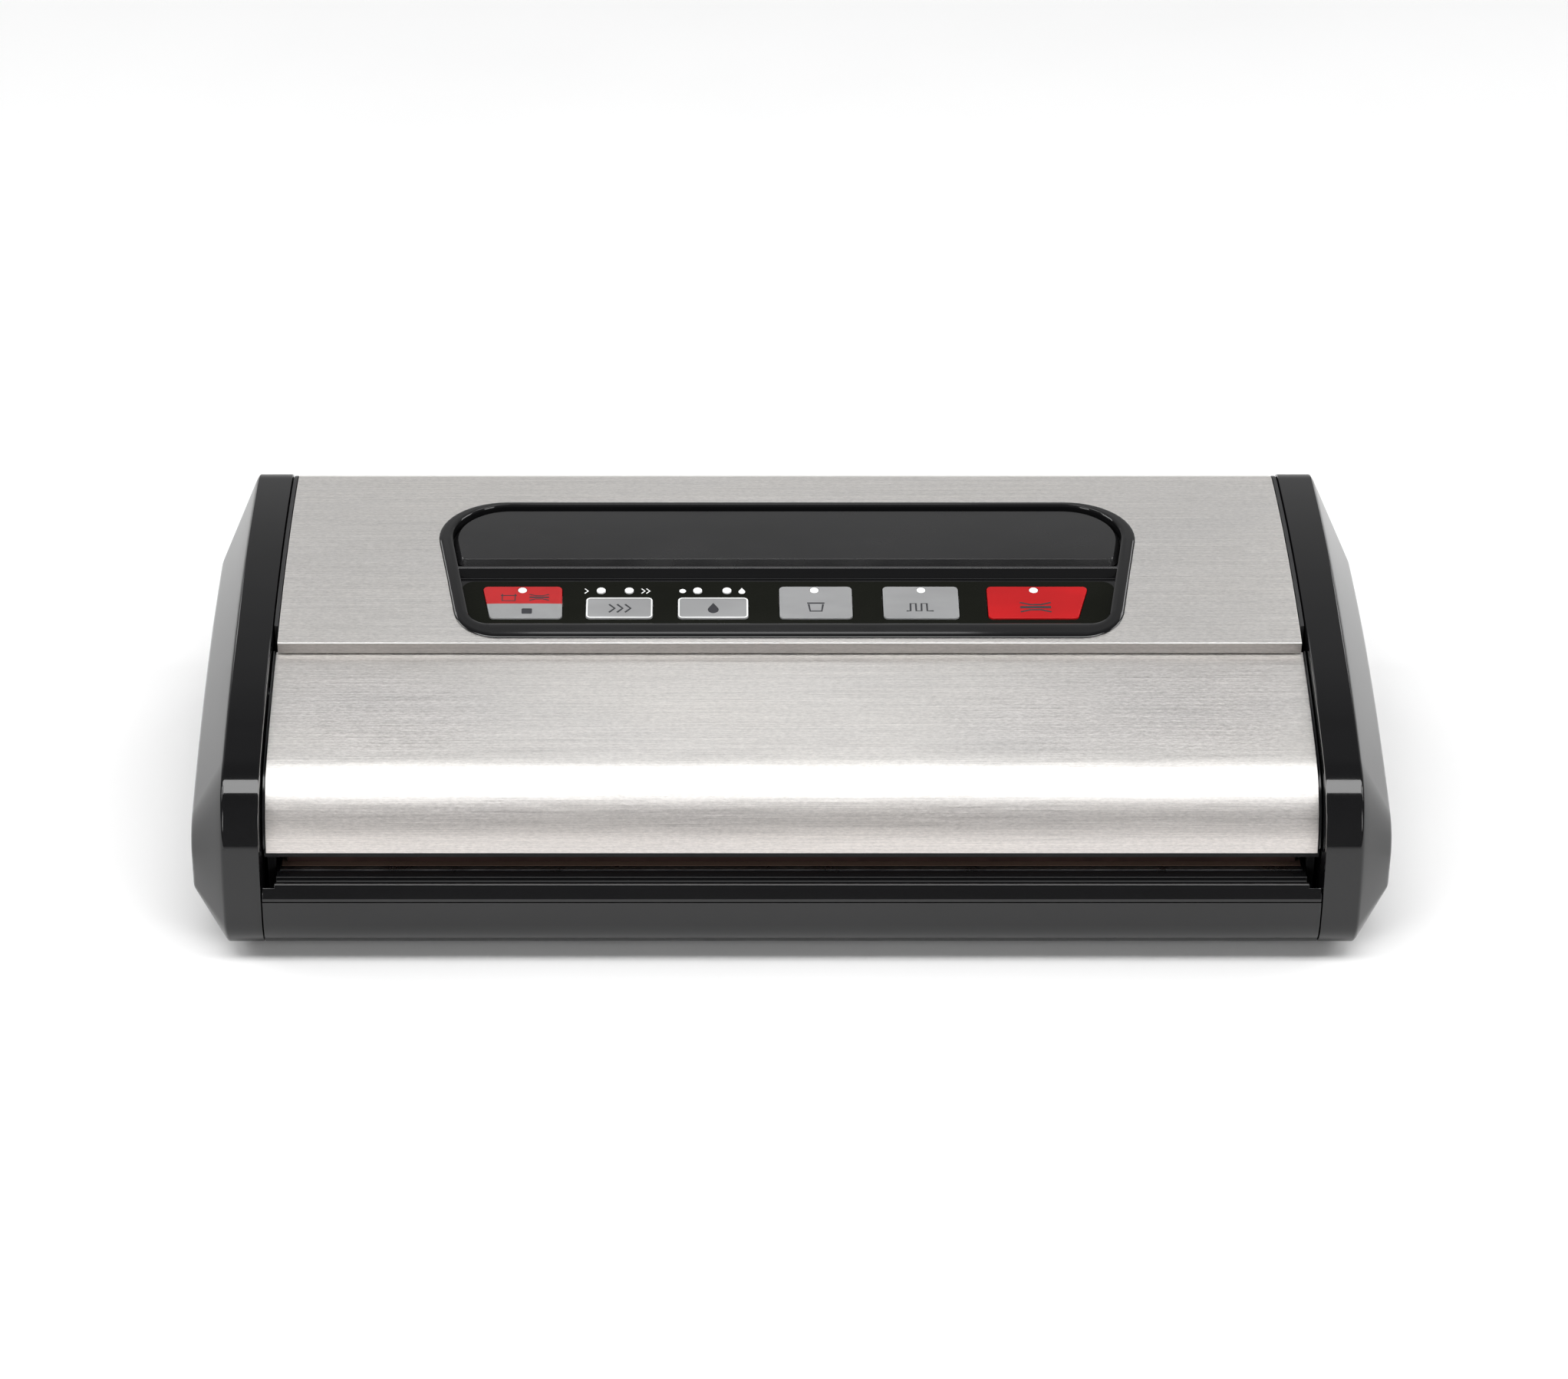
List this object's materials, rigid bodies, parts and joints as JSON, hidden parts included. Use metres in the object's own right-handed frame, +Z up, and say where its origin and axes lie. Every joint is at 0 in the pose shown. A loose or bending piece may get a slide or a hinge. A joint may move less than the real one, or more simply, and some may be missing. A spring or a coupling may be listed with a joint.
{
  "type": "vacuum sealer",
  "caption": "Countertop vacuum sealer: stainless rear panel with keypad, hinged stainless lid over a seal bar and vacuum trough, gloss black end caps.",
  "frame": {"origin": "on the table under the centre of the object", "axes": "+X to the user's right along the width, +Y to the back, +Z up"},
  "size_m": [0.38, 0.1832, 0.0804],
  "materials": {
    "brushed_steel": "brushed across the width",
    "gloss_black": "high gloss",
    "matte_black": "fine texture",
    "plate_grey": "satin",
    "overlay_black": "satin film",
    "key_grey": "satin film",
    "key_red": "satin film",
    "lamp_white": "clear diffuser",
    "rubber_black": "matt",
    "silicone_red": "matt",
    "ptfe_brown": "woven glass tape coated with PTFE",
    "copper": "enamelled wire",
    "nichrome": "drawn ribbon",
    "zinc_steel": "zinc plated",
    "aluminium": "extruded",
    "board_green": "solder mask",
    "hose_clear": "translucent silicone"
  },
  "bodies": {
    "housing": {"base_shell": "gloss_black", "canister_port": "matte_black", "control_bezel": "gloss_black", "control_board": "board_green", "front_left_foot": "rubber_black", "front_left_screw": "zinc_steel", "front_right_foot": "rubber_black", "front_right_screw": "zinc_steel", "heater_bar": "aluminium", "heating_element": "nichrome", "left_end_cap": "gloss_black", "left_hinge_bush": "matte_black", "left_inlet_pin": "zinc_steel", "lid_switch": "matte_black", "light_guide": "lamp_white", "lower_deck": "gloss_black", "lower_gasket": "rubber_black", "mains_inlet": "matte_black", "panel_overlay": "overlay_black", "power_board": "board_green", "ptfe_tape": "ptfe_brown", "pump_bracket": "zinc_steel", "pump_head": "matte_black", "pump_motor": "zinc_steel", "rear_housing": "matte_black", "rear_left_foot": "rubber_black", "rear_left_screw": "zinc_steel", "rear_right_foot": "rubber_black", "rear_right_screw": "zinc_steel", "rear_top_panel": "brushed_steel", "release_valve": "zinc_steel", "right_end_cap": "gloss_black", "right_hinge_bush": "matte_black", "right_inlet_pin": "zinc_steel", "suction_hose": "hose_clear", "suction_port": "matte_black", "transformer_coil": "copper", "transformer_core": "zinc_steel", "trough_pan": "matte_black", "valve_hose": "hose_clear", "window_plate": "plate_grey"},
    "lid": {"left_hinge_pin": "zinc_steel", "left_latch_hook": "matte_black", "lid_cover": "brushed_steel", "lid_floor": "matte_black", "lid_frame": "gloss_black", "pressure_strip": "silicone_red", "right_hinge_pin": "zinc_steel", "right_latch_hook": "matte_black", "upper_gasket": "rubber_black"},
    "latch": {"latch_shaft": "zinc_steel", "left_latch_pawl": "matte_black", "right_latch_pawl": "matte_black"},
    "pump_shaft": {"pump_eccentric": "zinc_steel"},
    "canister_key": {"canister_key": "key_grey"},
    "food_key": {"food_key": "key_grey"},
    "pulse_key": {"pulse_key": "key_grey"},
    "seal_key": {"seal_key": "key_red"},
    "speed_key": {"speed_key": "key_grey"},
    "vacuum_seal_key": {"vacuum_seal_key": "key_red"}
  },
  "joints": [
    {"name": "lid_hinge", "type": "hinge", "parent": "housing", "child": "lid", "pos_m": [0, -0.024, 0.058], "axis": [-1, 0, 0], "range_deg": [0, 75]},
    {"name": "latch_turn", "type": "hinge", "parent": "housing", "child": "latch", "pos_m": [0, -0.066, 0.012], "axis": [1, 0, 0], "range_deg": [0, 10], "stiffness_Nm_per_rad": 0.05},
    {"name": "pump_spin", "type": "hinge", "parent": "housing", "child": "pump_shaft", "pos_m": [0, 0.042, 0.03], "axis": [1, 0, 0], "continuous": true},
    {"name": "canister_press", "type": "slide", "parent": "housing", "child": "canister_key", "axis": [0, 0, -1], "range_m": [0, 0.0005], "stiffness_N_per_m": 600},
    {"name": "food_press", "type": "slide", "parent": "housing", "child": "food_key", "axis": [0, 0, -1], "range_m": [0, 0.0005], "stiffness_N_per_m": 600},
    {"name": "pulse_press", "type": "slide", "parent": "housing", "child": "pulse_key", "axis": [0, 0, -1], "range_m": [0, 0.0005], "stiffness_N_per_m": 600},
    {"name": "seal_press", "type": "slide", "parent": "housing", "child": "seal_key", "axis": [0, 0, -1], "range_m": [0, 0.0005], "stiffness_N_per_m": 600},
    {"name": "speed_press", "type": "slide", "parent": "housing", "child": "speed_key", "axis": [0, 0, -1], "range_m": [0, 0.0005], "stiffness_N_per_m": 600},
    {"name": "vacuum_seal_press", "type": "slide", "parent": "housing", "child": "vacuum_seal_key", "axis": [0, 0, -1], "range_m": [0, 0.0005], "stiffness_N_per_m": 600}
  ]
}
